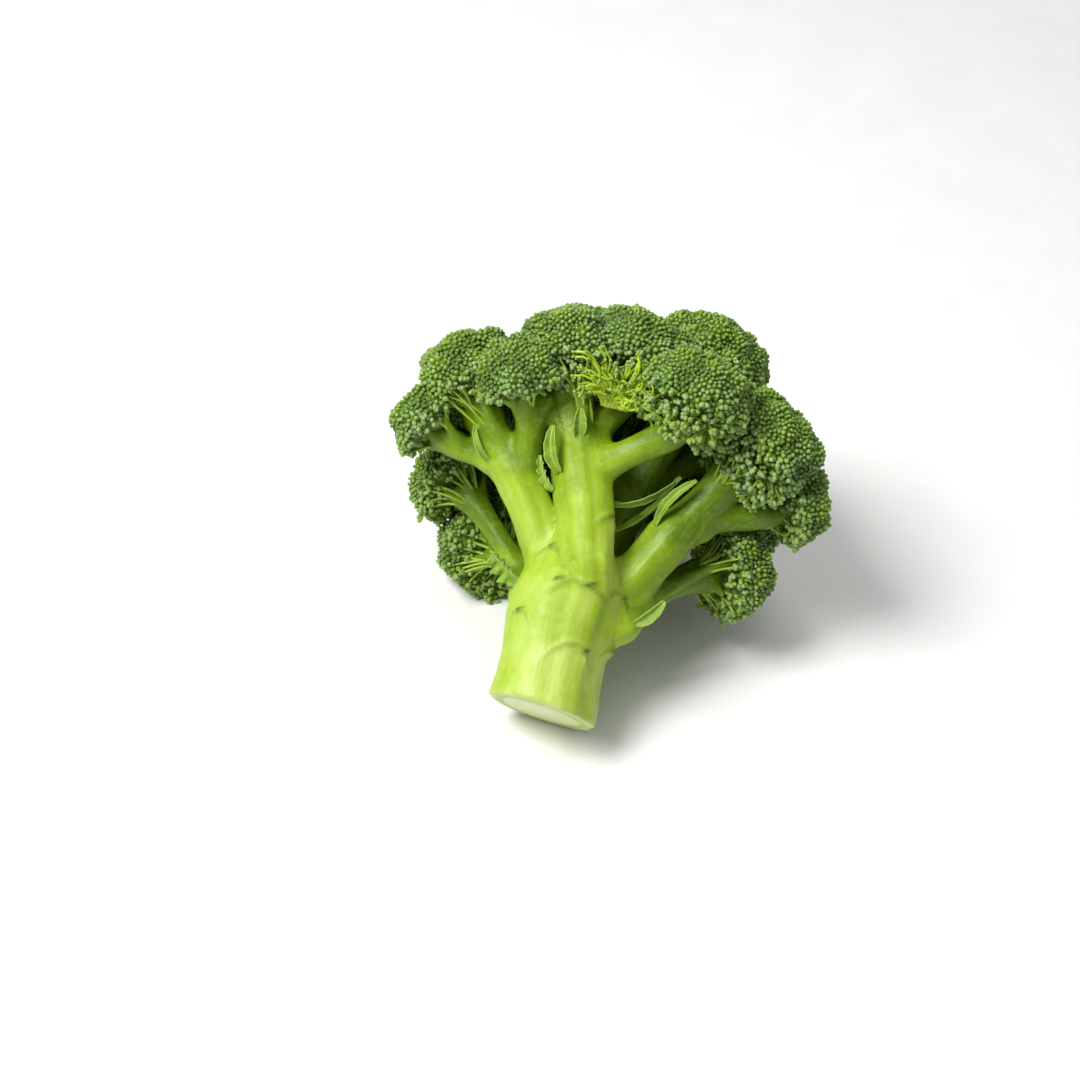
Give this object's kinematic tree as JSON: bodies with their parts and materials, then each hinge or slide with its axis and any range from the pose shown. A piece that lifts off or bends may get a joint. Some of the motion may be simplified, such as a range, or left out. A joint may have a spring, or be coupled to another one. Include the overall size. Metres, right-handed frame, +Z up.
{
  "type": "broccoli head",
  "caption": "Cut broccoli head lying on its side: a thick stalk forks into branches, each ending in a dome of green flower buds, with small leaves on the branches.",
  "frame": {"origin": "middle of the bounding box's lowest face, on the surface that the head lies on", "axes": "+Z up from the surface; the stalk's cut end points to -Y and the crown to +Y"},
  "size_m": [0.1768, 0.1758, 0.1363],
  "materials": {
    "stem": "waxy pale green",
    "buds": "matt dark green with a bluish bloom",
    "leaf": "satin green"
  },
  "bodies": {
    "root": {"branch_back_left_low": "stem", "branch_back_left_outer": "stem", "branch_back_left_upper": "stem", "branch_back_middle_left": "stem", "branch_back_middle_right": "stem", "branch_back_right": "stem", "branch_crown_top": "stem", "branch_front_left_top": "stem", "branch_front_right": "stem", "branch_front_right_top": "stem", "branch_left_front": "stem", "branch_left_outer": "stem", "branch_left_upper": "stem", "branch_right_lower": "stem", "branch_right_outer": "stem", "branch_right_upper": "stem", "branch_top_back": "stem", "branch_top_left": "stem", "branch_top_right": "stem", "floret_back_left_low": "buds", "floret_back_left_outer": "buds", "floret_back_left_upper": "buds", "floret_back_middle_left": "buds", "floret_back_middle_right": "buds", "floret_back_right": "buds", "floret_crown_top": "buds", "floret_front_left_top": "buds", "floret_front_right": "buds", "floret_front_right_top": "buds", "floret_left_front": "buds", "floret_left_outer": "buds", "floret_left_upper": "buds", "floret_right_lower": "buds", "floret_right_outer": "buds", "floret_right_upper": "buds", "floret_top_back": "buds", "floret_top_left": "buds", "floret_top_right": "buds", "leaf_back": "leaf", "leaf_back_right": "leaf", "leaf_fork_long": "leaf", "leaf_fork_short": "leaf", "leaf_front": "leaf", "leaf_left_curl": "leaf", "leaf_left_frill": "leaf", "leaf_right_back": "leaf", "leaf_right_bow": "leaf", "leaf_right_long": "leaf", "leaf_right_low": "leaf", "stalk": "stem"}
  },
  "joints": []
}
